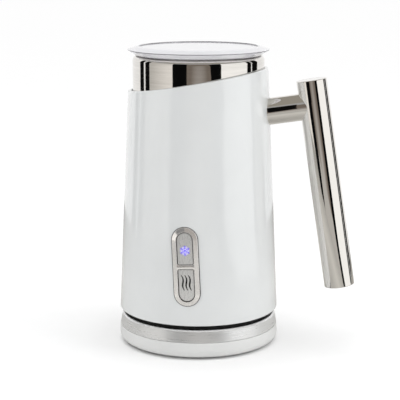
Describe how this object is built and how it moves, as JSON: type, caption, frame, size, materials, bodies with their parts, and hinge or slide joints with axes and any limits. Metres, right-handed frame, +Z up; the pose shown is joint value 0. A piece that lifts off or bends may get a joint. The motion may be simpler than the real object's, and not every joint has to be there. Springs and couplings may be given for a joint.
{
  "type": "milk frother",
  "caption": "Cordless jug milk frother with a steel cup, clear lid, tube handle and magnetic whisk, on a round power base.",
  "frame": {"origin": "on the jug's vertical axis, on the surface that the base stands on", "axes": "+Z up, +X towards the handle, -Y towards the button panel"},
  "size_m": [0.1599, 0.1085, 0.2],
  "materials": {
    "white_gloss": "glossy moulded white",
    "base_white": "soft gloss white",
    "satin_steel": "satin, brushed round the ring",
    "mirror_steel": "polished to a mirror",
    "cup_steel": "polished collar, fine turned lines inside",
    "clear_lid": "clear plastic",
    "silicone": "translucent silicone",
    "black_plastic": "fine moulded texture",
    "black_rubber": "soft matt",
    "button_steel": "brushed lengthwise",
    "icon_blue": "lit from behind, blue-violet",
    "icon_dark": "filled engraving",
    "screw_steel": "zinc plated",
    "brass": "bare",
    "cast_alu": "as cast",
    "element_steel": "heat tinted",
    "ceramic_brown": "moulded",
    "sensor_cream": "potted",
    "motor_can": "zinc plated",
    "magnet": "nickel plated",
    "board_green": "solder mask",
    "natural_plastic": "natural nylon",
    "led": "clear resin"
  },
  "bodies": {
    "base": {"base_housing": "base_white", "base_steel_ring": "satin_steel", "base_deck": "black_plastic", "base_bottom_plate": "black_plastic", "base_foot_ring": "black_rubber", "base_screws": "screw_steel", "base_connector": "black_plastic", "base_contacts": "brass", "cord_gland": "black_rubber"},
    "jug": {"outer_shell": "white_gloss", "jug_bottom_cover": "black_plastic", "jug_bottom_screws": "screw_steel", "jug_socket": "black_plastic", "socket_contacts": "brass", "inner_cup": "cup_steel", "cup_seal": "black_rubber", "pivot_pin": "mirror_steel", "chassis": "natural_plastic", "heater_plate": "cast_alu", "heater_element": "element_steel", "heater_screws": "screw_steel", "thermostat": "ceramic_brown", "temperature_sensor": "sensor_cream", "motor": "motor_can", "motor_screws": "screw_steel", "power_board": "board_green", "control_board": "board_green", "button_switches": "black_plastic", "status_led": "led", "board_carrier": "black_plastic", "board_screws": "screw_steel", "panel_bezel": "mirror_steel", "handle_stub": "mirror_steel", "handle_tube": "mirror_steel", "handle_top_cap": "mirror_steel", "handle_bottom_cap": "mirror_steel", "handle_insert": "brass", "handle_bolt": "screw_steel", "handle_backing_plate": "screw_steel"},
    "lid": {"lid": "clear_lid", "lid_seal": "silicone"},
    "froth_button": {"froth_button": "button_steel", "froth_icon_lens": "icon_blue"},
    "heat_button": {"heat_button": "button_steel", "heat_icon_inlay": "icon_dark"},
    "rotor": {"motor_shaft": "mirror_steel", "magnet_carrier": "black_plastic", "drive_magnets": "magnet"},
    "whisk_bush": {"whisk_bush": "natural_plastic"},
    "whisk": {"whisk_hub": "black_plastic", "whisk_magnets": "magnet", "whisk_cap": "black_plastic", "froth_coil": "mirror_steel"}
  },
  "joints": [
    {"name": "jug_lift", "type": "slide", "parent": "base", "child": "jug", "axis": [0, 0, 1], "range_m": [0, 0.06]},
    {"name": "lid_lift", "type": "slide", "parent": "jug", "child": "lid", "axis": [0, 0, 1], "range_m": [0, 0.04]},
    {"name": "froth_button_press", "type": "slide", "parent": "jug", "child": "froth_button", "axis": [0, 0.999, -0.044], "range_m": [0, 0.0008], "stiffness_N_per_m": 1500},
    {"name": "heat_button_press", "type": "slide", "parent": "jug", "child": "heat_button", "axis": [0, 0.999, -0.044], "range_m": [0, 0.0008], "stiffness_N_per_m": 1500},
    {"name": "motor_spin", "type": "hinge", "parent": "jug", "child": "rotor", "pos_m": [0, 0, 0.07], "axis": [0, 0, 1], "continuous": true},
    {"name": "whisk_lift", "type": "slide", "parent": "jug", "child": "whisk_bush", "axis": [0, 0, 1], "range_m": [0, 0.06]},
    {"name": "whisk_spin", "type": "hinge", "parent": "whisk_bush", "child": "whisk", "pos_m": [0, 0, 0.1], "axis": [0, 0, 1], "continuous": true}
  ],
  "couplings": [
    {"joint": "whisk_spin", "follows": "motor_spin", "ratio": 1}
  ]
}
